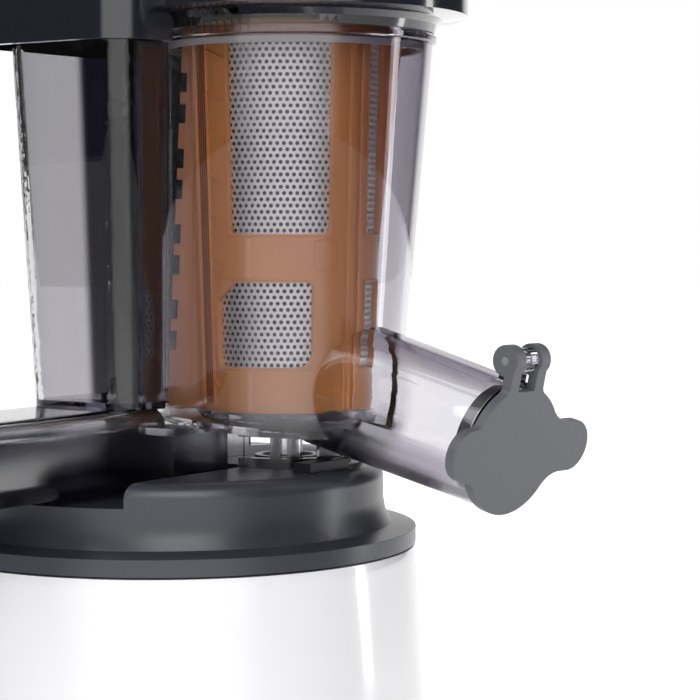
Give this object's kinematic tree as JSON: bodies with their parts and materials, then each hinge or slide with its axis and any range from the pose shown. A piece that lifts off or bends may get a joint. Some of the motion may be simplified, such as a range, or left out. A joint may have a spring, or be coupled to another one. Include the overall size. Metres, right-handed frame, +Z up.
{
  "type": "slow juicer",
  "caption": "Upright slow juicer: white round base, dark collar, smoke-tinted bowl with copper filter and steel screens, capped spout, pulp chute, lid and pusher.",
  "frame": {"origin": "on the table, under the middle of the bounding box", "axes": "+Z up; the juice spout points along -Y and the pulp chute along -X"},
  "size_m": [0.236, 0.2784, 0.4493],
  "materials": {
    "motor_housing": "smooth white gloss",
    "base_plate": "fine texture",
    "rubber_feet": "matt",
    "base_screws": "zinc plated",
    "top_collar": "satin dark grey",
    "gearbox_tray": "glass-filled nylon",
    "gearbox_cover": "glass-filled nylon",
    "gearbox_screws": "zinc plated",
    "output_gear": "acetal",
    "idler_pinion": "cut steel",
    "idler_wheel": "acetal",
    "motor_pinion": "cut steel",
    "drive_shaft": "ground",
    "shaft_bush_low": "sintered bronze",
    "shaft_bush_high": "sintered bronze",
    "shaft_seal": "nitrile",
    "idler_pin": "ground",
    "motor_stator": "laminated",
    "rotor_core": "laminated",
    "motor_shaft": "ground",
    "motor_bush": "sintered bronze",
    "cooling_fan": "moulded",
    "juicing_bowl": "clear smoke-tinted copolyester",
    "hub_gasket": "silicone",
    "spout_cap": "satin grey",
    "cap_seal_ring": "silicone",
    "cap_hinge_pin": "polished",
    "filter_front": "copper-coloured polyetherimide",
    "filter_rear": "copper-coloured polyetherimide",
    "filter_screens": "perforated sheet",
    "filter_base_ring": "copper-coloured polyetherimide",
    "auger": "moulded",
    "auger_insert": "broached hex",
    "lid": "smoke black",
    "lid_seal": "silicone",
    "lid_bush": "acetal",
    "pusher": "moulded",
    "pusher_cap": "moulded",
    "rear_column": "moulded",
    "lid_button": "moulded",
    "lock_block": "moulded",
    "switch_frame": "moulded",
    "switch_rocker": "moulded",
    "cord_grommet": "moulded",
    "control_board": "circuit board"
  },
  "bodies": {
    "base": {"motor_housing": "motor_housing", "base_plate": "base_plate", "rubber_feet": "rubber_feet", "base_screws": "base_screws", "top_collar": "top_collar", "gearbox_tray": "gearbox_tray", "gearbox_cover": "gearbox_cover", "gearbox_screws": "gearbox_screws", "shaft_bush_low": "shaft_bush_low", "shaft_bush_high": "shaft_bush_high", "shaft_seal": "shaft_seal", "idler_pin": "idler_pin", "motor_stator": "motor_stator", "motor_bush": "motor_bush", "rear_column": "rear_column", "lock_block": "lock_block", "switch_frame": "switch_frame", "cord_grommet": "cord_grommet", "control_board": "control_board"},
    "motor_rotor": {"rotor_core": "rotor_core", "motor_shaft": "motor_shaft", "motor_pinion": "motor_pinion", "cooling_fan": "cooling_fan"},
    "idler": {"idler_wheel": "idler_wheel", "idler_pinion": "idler_pinion"},
    "output": {"output_gear": "output_gear", "drive_shaft": "drive_shaft"},
    "rocker": {"switch_rocker": "switch_rocker"},
    "button": {"lid_button": "lid_button"},
    "bowl": {"juicing_bowl": "juicing_bowl", "hub_gasket": "hub_gasket", "filter_front": "filter_front", "filter_rear": "filter_rear", "filter_screens": "filter_screens", "filter_base_ring": "filter_base_ring"},
    "auger_body": {"auger": "auger", "auger_insert": "auger_insert"},
    "cap": {"spout_cap": "spout_cap", "cap_seal_ring": "cap_seal_ring", "cap_hinge_pin": "cap_hinge_pin"},
    "lid_body": {"lid": "lid", "lid_seal": "lid_seal", "lid_bush": "lid_bush"},
    "pusher_body": {"pusher": "pusher", "pusher_cap": "pusher_cap"}
  },
  "joints": [
    {"name": "motor_spin", "type": "hinge", "parent": "base", "child": "motor_rotor", "pos_m": [-0.00597, 0.05896, 0.06], "axis": [0, 0, 1], "continuous": true},
    {"name": "idler_spin", "type": "hinge", "parent": "base", "child": "idler", "pos_m": [0.00987, 0.02498, 0.1], "axis": [0, 0, 1], "continuous": true},
    {"name": "output_spin", "type": "hinge", "parent": "base", "child": "output", "pos_m": [0.031, -0.01476, 0.11], "axis": [0, 0, 1], "continuous": true},
    {"name": "rocker_tip", "type": "hinge", "parent": "base", "child": "rocker", "pos_m": [0.10943, 0.02625, 0.066], "axis": [0, 0, 1], "range_deg": [0, 12]},
    {"name": "button_press", "type": "slide", "parent": "base", "child": "button", "axis": [0, 0, 1], "range_m": [-0.003, 0], "stiffness_N_per_m": 300},
    {"name": "bowl_lift", "type": "slide", "parent": "base", "child": "bowl", "axis": [0, 0, 1], "range_m": [0, 0.06]},
    {"name": "auger_spin", "type": "hinge", "parent": "bowl", "child": "auger_body", "pos_m": [0.031, -0.01476, 0.25], "axis": [0, 0, 1], "continuous": true},
    {"name": "cap_hinge", "type": "hinge", "parent": "bowl", "child": "cap", "pos_m": [0.01303, -0.13214, 0.22714], "axis": [-0.9903, 0.1392, 0], "range_deg": [0, 135]},
    {"name": "lid_lift", "type": "slide", "parent": "bowl", "child": "lid_body", "axis": [0, 0, 1], "range_m": [0, 0.12]},
    {"name": "pusher_slide", "type": "slide", "parent": "lid_body", "child": "pusher_body", "axis": [0, 0, 1], "range_m": [0, 0.09]}
  ],
  "couplings": [
    {"joint": "idler_spin", "follows": "motor_spin", "ratio": -0.2},
    {"joint": "output_spin", "follows": "motor_spin", "ratio": 0.04},
    {"joint": "auger_spin", "follows": "motor_spin", "ratio": 0.04}
  ]
}
